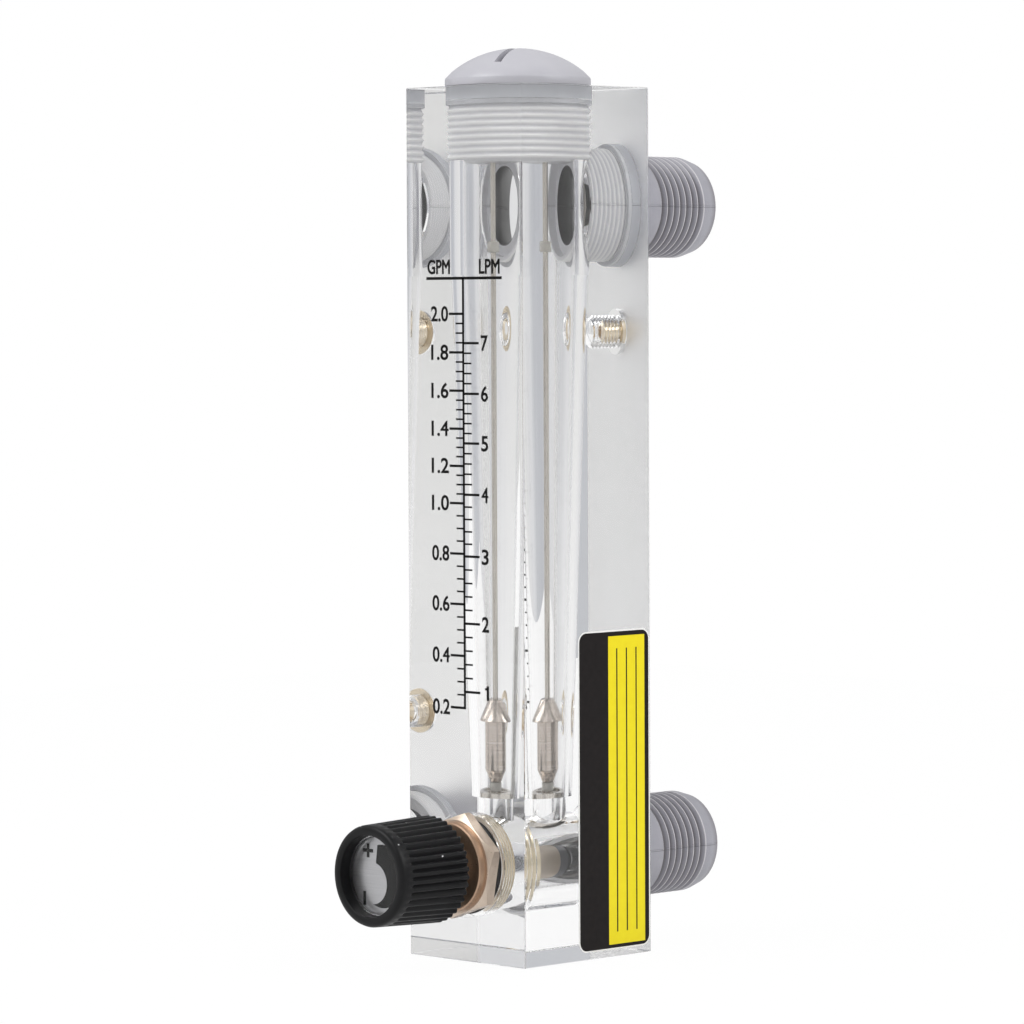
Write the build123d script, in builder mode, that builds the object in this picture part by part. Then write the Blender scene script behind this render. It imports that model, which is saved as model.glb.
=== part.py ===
"""Rotameter: a clear block with a tapered bore, a guided float and a flow valve.

Millimetres. X is the width, Y runs from the scale face to the pipe face, Z is up.
The origin is the middle of the block's bottom face.
"""
import os
from math import asin, cos, radians, sin

from build123d import *

os.makedirs("parts", exist_ok=True)

# Clear block
body_width = 33.0
body_depth = 36.2
body_height = 175.2
body_bevel = 0.35
front = -body_depth / 2
rear = body_depth / 2
side = body_width / 2

# Clearances
thread_gap = 0.05
seat_gap = 0.02
slide_gap = 0.1
rod_fit = 0.02

# Heights of the ports, and the bore's place
inlet_z = 19.4
outlet_drop = 23.6
port_spacing = body_height - outlet_drop - inlet_z
outlet_z = inlet_z + port_spacing
bore_offset = 2.65
bore_y = -bore_offset
bore_axis = Axis((0, bore_y, 0), (0, 0, 1))
bore_plane = Plane(origin=(0, bore_y, 0), x_dir=(1, 0, 0), z_dir=(0, -1, 0))
inlet_axis = Axis((0, 0, inlet_z), (0, 1, 0))
inlet_plane = Plane(origin=(0, 0, inlet_z), x_dir=(0, 1, 0), z_dir=(1, 0, 0))

# Tapered metering bore
bore_floor_z = 32.5
bore_floor_r = 6.05
bore_top_drop = 37.8
bore_length = body_height - bore_top_drop - bore_floor_z
bore_top_r = 10.55
bore_top_z = bore_floor_z + bore_length
chamber_r = 11.0
port_r = 4.5

# Top plug: slotted domed head, plain neck, and its thread at crest size
plug_thread_r = 11.45
plug_thread_length = 11.6
plug_neck_r = 11.8
plug_neck_length = 3.6
plug_head_r = 14.7
plug_rim = 1.9
plug_dome_rise = 6.0
plug_dome_flats = 5
plug_slot_width = 1.45
plug_slot_depth = 3.2
plug_slot_angle = 24.0
plug_slot_half = 11.5
plug_seal_size = 1.0
plug_neck_z = body_height - plug_neck_length
plug_foot_z = plug_neck_z - plug_thread_length

# Guide rod, its holder and the two float stops
rod_r = 1.0
rod_socket = 6.0
holder_thickness = 1.0
holder_rim = 1.5
holder_hub_r = 2.0
holder_arm = 1.2
holder_arms = 3
stop_r = 2.2
lower_stop_length = 1.75
upper_stop_length = 2.2
upper_stop_rise = 4.65
upper_stop_z = bore_top_z + upper_stop_rise
holder_top_z = bore_floor_z + holder_thickness
lower_stop_top = holder_top_z + lower_stop_length

# Float
float_cone_r = 5.75
float_cone_top_r = 2.45
float_cone_height = 4.2
float_rim = 0.15
float_body_r = 3.9
float_body_height = 9.95
float_tail_r = 2.1
float_tail_height = 2.55
float_hole_r = rod_r + slide_gap

# Pipe fittings: the pipe thread as ring grooves, the shank's thread at crest size
nipple_thread_r = 10.48
nipple_plain = 10.2
pipe_pitch = 1.814
pipe_turns = 7
pipe_groove_depth = 1.16
nipple_length = 27.4
nipple_lead = 2.9
nipple_lead_drop = 0.95
nipple_bore_r = 8.0
fitting_collar_r = 12.45
fitting_collar_length = 3.6
fitting_shank_r = 11.35
fitting_shank_length = 5.6
fitting_seal_size = 1.0
fitting_hole_depth = 15.0

# Brass panel inserts
insert_z = 47.45
insert_drop = 25.65
insert_spacing = outlet_z - insert_drop - insert_z
insert_flange_r = 4.6
insert_flange = 1.0
insert_thread_r = 3.3
insert_length = 5.9
insert_bore_r = 2.1
insert_hole_depth = 8.6

# Valve chamber and bonnet
valve_bore_r = 10.25
valve_bore_depth = 8.3
valve_chamber_r = 9.6
valve_seat_y = 3.5
valve_port_r = 5.0
valve_mouth_r = 10.75
valve_mouth_depth = 1.1
hex_flats = 19.0
hex_corner_turn = 19.0
hex_gap = 0.8
hex_thickness = 2.6
hex_chamfer = 0.45
collar_r = 8.95
collar_length = 1.8
collar_edge = 0.3
bonnet_thread_r = valve_bore_r - thread_gap
bonnet_neck_r = 8.6
piston_bore_r = 6.4
stem_hole_r = 4.0
stem_nose = 3.4
bonnet_seal_height = 1.6

# Valve stem, its seal and its soft washer
piston_r = piston_bore_r - slide_gap
piston_tip_y = -0.9
piston_length = 14.3
washer_thickness = 3.1
washer_r = 6.2
washer_edge = 0.8
washer_hole_r = 1.6
rivet_head_r = 2.6
rivet_head = 0.6
stem_r = stem_hole_r - slide_gap
spindle_r = 2.9
spindle_flat = 0.8
stem_seal_size = 1.5
stem_seal_y = -12.8

# Knob
knob_front_r = 10.1
knob_rear_r = 10.75
knob_length = 17.7
knob_gap = 4.3
knob_skirt = 1.5
knob_skirt_depth = 9.0
knob_band = 2.6
knob_ribs = 40
rib_depth = 0.55
knob_rim_chamfer = 0.7
dial_recess_r = 8.0
dial_recess = 4.6
dial_thickness = 0.5
lens_thickness = 1.7
dial_gap = 0.03
screw_head_r = 2.6
screw_head = 1.5
screw_shank_r = 1.45
screw_length = 7.0
screw_end_gap = 1.0
hub_r = 5.2

# Printed scale and side label
print_thickness = 0.04
scale_line = 0.55
scale_tick = 0.42
scale_x = -0.4
scale_top_drop = 0.55
scale_top_z = bore_top_z - scale_top_drop
scale_top_half = 10.75
left_major = 3.9
right_major = 4.0
scale_bore_length = 104.9
left_marks = (18.4, 28.85, 39.2, 49.3, 59.4, 66.85, 74.3, 81.9, 89.55, 97.25)
right_marks = (21.65, 35.35, 48.8, 61.15, 71.4, 81.3, 91.4)
label_front = 2.9
label_rear_gap = 0.4
label_low = 1.5
label_height = 64.5
label_corner = 2.2
label_thickness = 0.15

# Places worked out from the sizes above
collar_face_y = front - hex_gap - hex_thickness - collar_length
bonnet_foot_y = front + valve_bore_depth
knob_rear_y = collar_face_y - knob_gap
knob_front_y = knob_rear_y - knob_length
dial_y = knob_front_y + dial_recess
lens_y = dial_y - dial_thickness - dial_gap
spindle_end_y = dial_y + screw_head + 2 * dial_gap
fitting_foot = fitting_collar_length + fitting_shank_length
hole_overrun = 1.0


def revolved(plane, axis, points):
    """One turned solid from its half section on the plane."""
    with BuildPart() as turned:
        with BuildSketch(plane):
            with BuildLine():
                Polyline(*points, close=True)
            make_face()
        revolve(axis=axis)
    return turned.part


def seal_ring(plane, axis, middle, length, height):
    """One square-cut seal, turned from the rectangle about its section's middle."""
    with BuildPart() as ring:
        with BuildSketch(plane):
            with Locations(middle):
                Rectangle(length, height)
        revolve(axis=axis)
    return ring.part


# Clear block with all its holes
with BuildPart() as flow_body:
    Box(body_width, body_depth, body_height, align=(Align.CENTER, Align.CENTER, Align.MIN))
    chamfer(flow_body.edges().filter_by(Axis.Z), body_bevel)
    with BuildSketch(bore_plane):
        with BuildLine():
            Polyline(
                (0, inlet_z),
                (port_r, inlet_z),
                (port_r, bore_floor_z),
                (bore_floor_r, bore_floor_z),
                (bore_top_r, bore_top_z),
                (chamber_r, bore_top_z),
                (chamber_r, plug_foot_z),
                (plug_thread_r + thread_gap, plug_foot_z),
                (plug_thread_r + thread_gap, plug_neck_z),
                (plug_neck_r + thread_gap, plug_neck_z),
                (plug_neck_r + thread_gap, body_height + hole_overrun),
                (0, body_height + hole_overrun),
                close=True,
            )
        make_face()
    revolve(axis=bore_axis, mode=Mode.SUBTRACT)
    with BuildSketch(inlet_plane):
        with BuildLine():
            Polyline(
                (front - hole_overrun, 0),
                (front - hole_overrun, valve_mouth_r),
                (front + valve_mouth_depth, valve_mouth_r),
                (front + valve_mouth_depth, valve_bore_r),
                (bonnet_foot_y, valve_bore_r),
                (bonnet_foot_y, valve_chamber_r),
                (valve_seat_y, valve_chamber_r),
                (valve_seat_y, valve_port_r),
                (rear - hole_overrun, valve_port_r),
                (rear - hole_overrun, 0),
                close=True,
            )
        make_face()
    revolve(axis=inlet_axis, mode=Mode.SUBTRACT)
    for port_z, hole_depth in ((inlet_z, fitting_foot + hole_overrun), (outlet_z, fitting_hole_depth)):
        with Locations(Location((0, rear, port_z), (-90, 0, 0))):
            Hole(fitting_collar_r + thread_gap, depth=fitting_collar_length)
            Hole(fitting_shank_r + thread_gap, depth=hole_depth)
    for number in range(2):
        with Locations(Location((0, rear, insert_z + number * insert_spacing), (-90, 0, 0))):
            Hole(insert_flange_r + thread_gap, depth=insert_flange)
            Hole(insert_thread_r + thread_gap, depth=insert_hole_depth)
flow_body.part.label = "flow_body"
export_step(flow_body.part, "parts/flow_body.step")

# Top plug: its dome is a cap of a ball, turned in short straight cuts
dome_height = plug_rim + plug_dome_rise
dome_ball_r = (plug_head_r**2 + plug_dome_rise**2) / (2 * plug_dome_rise)
dome_ball_z = body_height + dome_height - dome_ball_r
dome_edge_angle = asin(plug_head_r / dome_ball_r)
dome_angles = [dome_edge_angle * (1 - step / plug_dome_flats) for step in range(plug_dome_flats + 1)]
seal_floor_r = plug_neck_r + thread_gap - plug_seal_size
seal_z = plug_neck_z + plug_seal_size
with BuildPart() as top_plug:
    with BuildSketch(bore_plane):
        with BuildLine():
            Polyline(
                (0, plug_foot_z + thread_gap),
                (plug_thread_r, plug_foot_z + thread_gap),
                (plug_thread_r, plug_neck_z),
                (seal_floor_r, plug_neck_z),
                (seal_floor_r, seal_z + seat_gap),
                (plug_neck_r, seal_z + seat_gap),
                (plug_neck_r, body_height + seat_gap),
                (plug_head_r, body_height + seat_gap),
                *((dome_ball_r * sin(a), dome_ball_z + dome_ball_r * cos(a)) for a in dome_angles),
                close=True,
            )
        make_face()
    revolve(axis=bore_axis)
    with BuildSketch(bore_plane):
        with BuildLine():
            Polyline(
                (0, plug_foot_z - hole_overrun),
                (rod_r + rod_fit, plug_foot_z - hole_overrun),
                (rod_r + rod_fit, plug_foot_z + rod_socket + rod_fit),
                (0, plug_foot_z + rod_socket + rod_fit),
                close=True,
            )
        make_face()
    revolve(axis=bore_axis, mode=Mode.SUBTRACT)
    with Locations(Location((0, bore_y, body_height + dome_height), (0, 0, plug_slot_angle - 90))):
        Box(
            2 * plug_slot_half,
            plug_slot_width,
            2 * plug_slot_depth,
            mode=Mode.SUBTRACT,
        )
top_plug.part.label = "top_plug"
export_step(top_plug.part, "parts/top_plug.step")

# Seal under the plug's neck
top_plug_seal = seal_ring(
    bore_plane,
    bore_axis,
    (seal_floor_r + plug_seal_size / 2, plug_neck_z + plug_seal_size / 2),
    plug_seal_size - 2 * seat_gap,
    plug_seal_size - 2 * seat_gap,
)
top_plug_seal.label = "top_plug_seal"
export_step(top_plug_seal, "parts/top_plug_seal.step")

# Guide rod
with BuildPart() as guide_rod:
    with Locations((0, bore_y, bore_floor_z)):
        Cylinder(
            rod_r,
            plug_foot_z + rod_socket - bore_floor_z,
            align=(Align.CENTER, Align.CENTER, Align.MIN),
        )
guide_rod.part.label = "guide_rod"
export_step(guide_rod.part, "parts/guide_rod.step")

# Rod holder: a hub on three arms inside a ring that sits on the bore's floor
holder_r = bore_floor_r - seat_gap
with BuildPart() as rod_holder:
    with BuildSketch(Plane.XY.offset(bore_floor_z + seat_gap)):
        with Locations((0, bore_y)):
            Circle(holder_r)
            Circle(holder_r - holder_rim, mode=Mode.SUBTRACT)
            Circle(holder_hub_r)
            for arm in range(holder_arms):
                turn = arm * 360 / holder_arms
                reach = (holder_r - holder_rim / 2) / 2
                with Locations(Location((reach * cos(radians(turn)), reach * sin(radians(turn))), turn)):
                    Rectangle(2 * reach, holder_arm)
            Circle(rod_r + rod_fit, mode=Mode.SUBTRACT)
    extrude(amount=holder_thickness - 2 * seat_gap)
rod_holder.part.label = "rod_holder"
export_step(rod_holder.part, "parts/rod_holder.step")

# Float stops: two soft beads on the rod
stops = (
    ("lower_float_stop", holder_top_z, lower_stop_length),
    ("upper_float_stop", upper_stop_z, upper_stop_length),
)
for stop_name, stop_z, stop_length in stops:
    with BuildPart() as float_stop:
        with Locations((0, bore_y, stop_z)):
            Cylinder(stop_r, stop_length, align=(Align.CENTER, Align.CENTER, Align.MIN))
            Cylinder(rod_r + rod_fit, 2 * stop_length, mode=Mode.SUBTRACT)
    float_stop.part.label = stop_name
    export_step(float_stop.part, f"parts/{stop_name}.step")

# Float, at rest on the lower stop
float_z = lower_stop_top + seat_gap
float_body_z = float_z + float_tail_height
float_cone_z = float_body_z + float_body_height
float_top_z = float_cone_z + float_cone_height
metering_float = revolved(
    bore_plane,
    bore_axis,
    (
        (float_hole_r, float_z),
        (float_tail_r, float_z),
        (float_body_r, float_body_z),
        (float_body_r, float_cone_z),
        (float_cone_r, float_cone_z),
        (float_cone_r, float_cone_z + float_rim),
        (float_cone_top_r, float_top_z),
        (float_hole_r, float_top_z),
    ),
)
metering_float.label = "metering_float"
export_step(metering_float, "parts/metering_float.step")

# Pipe fittings: collar and shank in the block, threaded nipple behind it
fittings = (("inlet_fitting", "inlet_seal", inlet_z), ("outlet_fitting", "outlet_seal", outlet_z))
collar_y = rear - fitting_collar_length
nipple_end = rear + nipple_length
pipe_thread = []
for turn in range(pipe_turns):
    turn_y = rear + nipple_plain + turn * pipe_pitch
    pipe_thread.append((turn_y + pipe_pitch / 2, nipple_thread_r - pipe_groove_depth))
    pipe_thread.append((turn_y + pipe_pitch, nipple_thread_r))
for fitting_name, seal_name, port_z in fittings:
    port_axis = Axis((0, 0, port_z), (0, 1, 0))
    port_plane = Plane(origin=(0, 0, port_z), x_dir=(0, 1, 0), z_dir=(1, 0, 0))
    fitting = revolved(
        port_plane,
        port_axis,
        (
            (rear - fitting_foot, nipple_bore_r),
            (rear - fitting_foot, fitting_shank_r),
            (collar_y, fitting_shank_r),
            (collar_y, fitting_collar_r - fitting_seal_size),
            (collar_y + fitting_seal_size, fitting_collar_r - fitting_seal_size),
            (collar_y + fitting_seal_size, fitting_collar_r),
            (rear - seat_gap, fitting_collar_r),
            (rear - seat_gap, nipple_thread_r),
            (rear + nipple_plain, nipple_thread_r),
            *pipe_thread,
            (nipple_end - nipple_lead, nipple_thread_r),
            (nipple_end, nipple_thread_r - nipple_lead_drop),
            (nipple_end, nipple_bore_r),
        ),
    )
    fitting.label = fitting_name
    export_step(fitting, f"parts/{fitting_name}.step")
    fitting_seal = seal_ring(
        port_plane,
        port_axis,
        (collar_y + fitting_seal_size / 2, fitting_collar_r - fitting_seal_size / 2),
        fitting_seal_size - 2 * seat_gap,
        fitting_seal_size - 2 * seat_gap,
    )
    fitting_seal.label = seal_name
    export_step(fitting_seal, f"parts/{seal_name}.step")

# Brass inserts for the panel screws
insert_foot_y = rear - insert_length
for number, insert_name in enumerate(("lower_panel_insert", "upper_panel_insert")):
    centre_z = insert_z + number * insert_spacing
    panel_insert = revolved(
        Plane(origin=(0, 0, centre_z), x_dir=(0, 1, 0), z_dir=(1, 0, 0)),
        Axis((0, 0, centre_z), (0, 1, 0)),
        (
            (insert_foot_y, insert_bore_r),
            (insert_foot_y, insert_thread_r),
            (rear - insert_flange + seat_gap, insert_thread_r),
            (rear - insert_flange + seat_gap, insert_flange_r),
            (rear, insert_flange_r),
            (rear, insert_bore_r),
        ),
    )
    panel_insert.label = insert_name
    export_step(panel_insert, f"parts/{insert_name}.step")

# Valve bonnet: collar, hexagon, neck and thread, bored for the stem's piston
hex_front_y = front - hex_gap - hex_thickness
hex_rear_y = front - hex_gap
thread_start_y = front + valve_mouth_depth
nose_y = collar_face_y + stem_nose
bonnet_outline = [
    (collar_face_y, stem_hole_r),
    (collar_face_y, collar_r - collar_edge),
    (collar_face_y + collar_edge, collar_r),
    (hex_front_y + collar_edge, collar_r),
    (hex_front_y + collar_edge, bonnet_neck_r),
    (thread_start_y, bonnet_neck_r),
    (thread_start_y, bonnet_thread_r),
    (bonnet_foot_y, bonnet_thread_r),
    (bonnet_foot_y, piston_bore_r),
    (nose_y, piston_bore_r),
    (nose_y, stem_hole_r),
]
with BuildPart() as valve_bonnet:
    hex_plane = Plane(origin=(0, hex_front_y, inlet_z), x_dir=(1, 0, 0), z_dir=(0, 1, 0))
    with BuildSketch(hex_plane):
        RegularPolygon(hex_flats / 2, 6, major_radius=False, rotation=-hex_corner_turn)
    extrude(amount=hex_thickness)
    with BuildSketch(inlet_plane):
        with BuildLine():
            Polyline(
                (hex_front_y - seat_gap, hex_flats / 2 - hex_chamfer / 3),
                (hex_front_y + hex_thickness / 2, hex_flats),
                (hex_front_y - seat_gap, hex_flats),
                close=True,
            )
        make_face()
    revolve(axis=inlet_axis, mode=Mode.SUBTRACT)
    with BuildSketch(hex_plane):
        Circle(bonnet_neck_r - hex_chamfer)
    extrude(amount=hex_thickness, mode=Mode.SUBTRACT)
    with BuildSketch(inlet_plane):
        with BuildLine():
            Polyline(*bonnet_outline, close=True)
        make_face()
    revolve(axis=inlet_axis)
valve_bonnet.part.label = "valve_bonnet"
export_step(valve_bonnet.part, "parts/valve_bonnet.step")

# Black seal squeezed between the hexagon and the block
bonnet_seal = seal_ring(
    inlet_plane,
    inlet_axis,
    ((hex_rear_y + thread_start_y) / 2, bonnet_neck_r + seat_gap + bonnet_seal_height / 2),
    thread_start_y - hex_rear_y - 2 * seat_gap,
    bonnet_seal_height,
)
bonnet_seal.label = "bonnet_seal"
export_step(bonnet_seal, "parts/bonnet_seal.step")

# Valve stem: piston with a seal groove, threaded shank and flatted spindle
piston_back_y = piston_tip_y - piston_length
groove_half = stem_seal_size / 2 + seat_gap
groove_floor_r = piston_bore_r - 2 * seat_gap - stem_seal_size
with BuildPart() as valve_stem:
    with BuildSketch(inlet_plane):
        with BuildLine():
            Polyline(
                (spindle_end_y, 0),
                (spindle_end_y, spindle_r),
                (knob_rear_y, spindle_r),
                (knob_rear_y, stem_r),
                (piston_back_y, stem_r),
                (piston_back_y, piston_r),
                (stem_seal_y - groove_half, piston_r),
                (stem_seal_y - groove_half, groove_floor_r),
                (stem_seal_y + groove_half, groove_floor_r),
                (stem_seal_y + groove_half, piston_r),
                (piston_tip_y, piston_r),
                (piston_tip_y, washer_hole_r - rod_fit),
                (piston_tip_y + washer_thickness + seat_gap, washer_hole_r - rod_fit),
                (piston_tip_y + washer_thickness + seat_gap, rivet_head_r),
                (piston_tip_y + washer_thickness + rivet_head, rivet_head_r - rivet_head / 2),
                (piston_tip_y + washer_thickness + rivet_head, 0),
                close=True,
            )
        make_face()
    revolve(axis=inlet_axis)
    with Locations((0, (spindle_end_y + knob_rear_y) / 2, inlet_z + 2 * spindle_r - spindle_flat)):
        Box(4 * spindle_r, knob_rear_y - spindle_end_y, 2 * spindle_r, mode=Mode.SUBTRACT)
    with Locations(Location((0, spindle_end_y, inlet_z), (90, 0, 0))):
        Hole(screw_shank_r + seat_gap, depth=screw_length)
valve_stem.part.label = "valve_stem"
export_step(valve_stem.part, "parts/valve_stem.step")

# Seal ring of the stem's piston
stem_seal = seal_ring(
    inlet_plane,
    inlet_axis,
    (stem_seal_y, piston_bore_r - seat_gap - stem_seal_size / 2),
    stem_seal_size,
    stem_seal_size,
)
stem_seal.label = "stem_seal"
export_step(stem_seal, "parts/stem_seal.step")

# Soft washer that closes on the seat
seat_washer = revolved(
    inlet_plane,
    inlet_axis,
    (
        (piston_tip_y + seat_gap, washer_hole_r),
        (piston_tip_y + seat_gap, washer_r),
        (piston_tip_y + washer_thickness - washer_edge, washer_r),
        (piston_tip_y + washer_thickness, washer_r - washer_edge),
        (piston_tip_y + washer_thickness, washer_hole_r),
    ),
)
seat_washer.label = "seat_washer"
export_step(seat_washer, "parts/seat_washer.step")

# Knob: a tapered run of ribs, a plain front band, a dial recess and a hollow skirt
rib_front_y = knob_front_y + knob_band
rib_front_r = knob_rear_r - (knob_rear_r - knob_front_r) * (knob_length - knob_band) / knob_length


def ribbed_outline(crest_r):
    """Points round the knob, by turns on a rib's crest and in the groove beside it."""
    points = []
    for half_rib in range(2 * knob_ribs):
        turn = radians(half_rib * 180 / knob_ribs)
        radius = crest_r - rib_depth * (half_rib % 2)
        points.append((radius * cos(turn), radius * sin(turn)))
    return points


with BuildPart() as knob:
    for section_y, section_r in ((knob_rear_y, knob_rear_r), (rib_front_y, rib_front_r)):
        with BuildSketch(Plane(origin=(0, section_y, inlet_z), x_dir=(1, 0, 0), z_dir=(0, -1, 0))):
            Polygon(*ribbed_outline(section_r), align=None)
    loft(ruled=True)
    with BuildSketch(inlet_plane):
        with BuildLine():
            Polyline(
                (rib_front_y, 0),
                (rib_front_y, rib_front_r),
                (knob_front_y + knob_rim_chamfer, knob_front_r),
                (knob_front_y, knob_front_r - knob_rim_chamfer),
                (knob_front_y, 0),
                close=True,
            )
        make_face()
    revolve(axis=inlet_axis)
    with BuildSketch(inlet_plane):
        with BuildLine():
            Polyline(
                (dial_y, 0),
                (dial_y, dial_recess_r),
                (knob_front_y - hole_overrun, dial_recess_r),
                (knob_front_y - hole_overrun, 0),
                close=True,
            )
        make_face()
        with BuildLine():
            Polyline(
                (knob_rear_y, hub_r),
                (knob_rear_y, knob_rear_r - knob_skirt),
                (knob_rear_y - knob_skirt_depth, knob_rear_r - knob_skirt),
                (knob_rear_y - knob_skirt_depth, hub_r),
                close=True,
            )
        make_face()
    revolve(axis=inlet_axis, mode=Mode.SUBTRACT)
    with BuildSketch(Plane(origin=(0, knob_rear_y, inlet_z), x_dir=(1, 0, 0), z_dir=(0, -1, 0))):
        Circle(spindle_r + rod_fit)
        with Locations((0, 2 * spindle_r - spindle_flat + rod_fit)):
            Rectangle(4 * spindle_r, 2 * spindle_r, mode=Mode.SUBTRACT)
    extrude(amount=knob_rear_y - spindle_end_y + rod_fit, mode=Mode.SUBTRACT)
    with Locations(Location((0, dial_y, inlet_z), (90, 0, 0))):
        CounterBoreHole(
            screw_shank_r + slide_gap,
            screw_head_r + slide_gap,
            screw_head + dial_gap,
            depth=knob_length,
        )
knob.part.label = "knob"
export_step(knob.part, "parts/knob.step")

# Screw that holds the knob on the spindle, under the dial
knob_screw = revolved(
    inlet_plane,
    inlet_axis,
    (
        (dial_y + dial_gap, 0),
        (dial_y + dial_gap, screw_head_r),
        (dial_y + dial_gap + screw_head - seat_gap, screw_head_r),
        (dial_y + dial_gap + screw_head - seat_gap, screw_shank_r),
        (spindle_end_y + screw_length - screw_end_gap, screw_shank_r),
        (spindle_end_y + screw_length - screw_end_gap, 0),
    ),
)
knob_screw.label = "knob_screw"
export_step(knob_screw, "parts/knob_screw.step")

# Dial disc and the clear lens over it
dial_pieces = (
    ("knob_dial", dial_y - dial_gap, dial_thickness),
    ("knob_lens", lens_y - dial_gap, lens_thickness),
)
for piece_name, back_y, thickness in dial_pieces:
    with BuildPart() as dial_piece:
        with BuildSketch(Plane(origin=(0, back_y, inlet_z), x_dir=(1, 0, 0), z_dir=(0, -1, 0))):
            Circle(dial_recess_r - thread_gap)
        extrude(amount=thickness)
    dial_piece.part.label = piece_name
    export_step(dial_piece.part, f"parts/{piece_name}.step")

# Printed scale: a spine, its top bar and the long marks on both sides, spread with the bore's taper
scale_plane = Plane(origin=(0, front - print_thickness, 0), x_dir=(1, 0, 0), z_dir=(0, -1, 0))
with BuildPart() as scale_print:
    with BuildSketch(scale_plane):
        mark_step = bore_length / scale_bore_length
        spine = scale_top_z - bore_floor_z - left_marks[0] * mark_step + scale_tick / 2
        with Locations((scale_x, scale_top_z - spine / 2)):
            Rectangle(scale_line, spine)
        with Locations((0, scale_top_z)):
            Rectangle(2 * scale_top_half, scale_line)
        for marks, way, length in ((left_marks, -1, left_major), (right_marks, 1, right_major)):
            for height in marks:
                with Locations((scale_x + way * length / 2, bore_floor_z + height * mark_step)):
                    Rectangle(length, scale_tick)
    extrude(amount=-print_thickness)
scale_print.part.label = "scale_print"
export_step(scale_print.part, "parts/scale_print.step")

# Side label
label_y = (rear - label_rear_gap - label_front) / 2
label_width = rear - label_rear_gap + label_front
with BuildPart() as side_label:
    with BuildSketch(Plane(origin=(side, label_y, 0), x_dir=(0, 1, 0), z_dir=(1, 0, 0))):
        with Locations((0, label_low + label_height / 2)):
            RectangleRounded(label_width, label_height, label_corner)
    extrude(amount=label_thickness)
side_label.part.label = "side_label"
export_step(side_label.part, "parts/side_label.step")
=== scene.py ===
"""The looks of a rotameter: a clear block with a tapered bore, a guided float and a valve.

Metres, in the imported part's frame: X is the width, Y runs from the scale face to the
pipe face, Z is up. Sizes are written in millimetres and drawn at that size, and each
finished mesh is then brought down to metres.
"""
import math

import bmesh
import bpy
from mathutils import Euler, Matrix, Vector


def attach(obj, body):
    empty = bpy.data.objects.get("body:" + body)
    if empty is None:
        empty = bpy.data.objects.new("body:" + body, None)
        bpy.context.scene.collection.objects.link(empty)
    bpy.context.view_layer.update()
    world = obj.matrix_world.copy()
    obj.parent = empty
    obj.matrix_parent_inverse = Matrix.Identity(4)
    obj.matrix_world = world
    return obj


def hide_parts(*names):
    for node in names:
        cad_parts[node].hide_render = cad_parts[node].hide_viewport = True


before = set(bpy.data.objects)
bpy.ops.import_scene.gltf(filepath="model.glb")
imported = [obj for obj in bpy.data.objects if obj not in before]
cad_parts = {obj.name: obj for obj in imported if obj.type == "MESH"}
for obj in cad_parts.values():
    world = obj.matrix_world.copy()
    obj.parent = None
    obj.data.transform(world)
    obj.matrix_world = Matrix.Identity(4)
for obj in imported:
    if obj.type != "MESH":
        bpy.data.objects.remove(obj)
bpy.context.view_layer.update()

scene = bpy.context.scene


# Camera: a long lens in front of the right-hand corner of the block, a little above its
# middle, as the photograph was taken. The focal length is in pixels of that picture.
picture_pixels, focal_pixels = 1024, 4838.3
yaw, pitch, roll = 45.187, 2.403, -0.261
camera_place = (0.6917, -0.69206, 0.13067)
camera = bpy.data.objects.new("camera", bpy.data.cameras.new("camera"))
scene.collection.objects.link(camera)
camera.data.sensor_width = 36.0
camera.data.lens = focal_pixels / picture_pixels * camera.data.sensor_width
camera.data.clip_start = 0.05
camera.data.clip_end = 20.0
aim = Euler((math.radians(90 - pitch), 0, math.radians(yaw))).to_matrix()
aim = aim @ Matrix.Rotation(math.radians(roll), 3, "Z")
camera.matrix_world = Matrix.Translation(camera_place) @ aim.to_4x4()
scene.camera = camera

# Clear plastic needs many passes of light through its walls and threads.
scene.cycles.max_bounces = 40
scene.cycles.transmission_bounces = 40
scene.cycles.glossy_bounces = 12
scene.cycles.diffuse_bounces = 4


# Studio: a white floor and pale cloth all round, with two broad soft lamps above. The
# camera sees the cloth as white. A reflection or the clear plastic sees its shades: a soft
# grey fold at the back and paler stretches beside it. The floor keeps a faint shadow.
def linear(code):
    """An sRGB hex colour, such as "c8c8c8", as linear red, green, blue and alpha."""
    parts = [int(code[at:at + 2], 16) / 255 for at in (0, 2, 4)]
    return [p / 12.92 if p <= 0.04045 else ((p + 0.055) / 1.055) ** 2.4 for p in parts] + [1.0]


def add(tree, kind, inputs=None, **settings):
    """A node with its settings; its inputs are numbers, colours or other nodes' outputs."""
    node = tree.nodes.new(kind)
    for name, value in settings.items():
        setattr(node, name, value)
    for name, value in (inputs or {}).items():
        if isinstance(value, bpy.types.NodeSocket):
            tree.links.new(value, node.inputs[name])
        else:
            node.inputs[name].default_value = value
    return node


def showing(tree):
    """1 for a ray from the camera, and 1 for a ray that shows the studio straight or by way of plastic or metal."""
    rays = add(tree, "ShaderNodeLightPath").outputs
    seen = add(tree, "ShaderNodeMath", {0: rays["Is Camera Ray"], 1: rays["Is Transmission Ray"]}, operation="MAXIMUM")
    seen = add(tree, "ShaderNodeMath", {0: seen.outputs[0], 1: rays["Is Glossy Ray"]}, operation="MAXIMUM")
    return rays["Is Camera Ray"], seen


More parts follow.
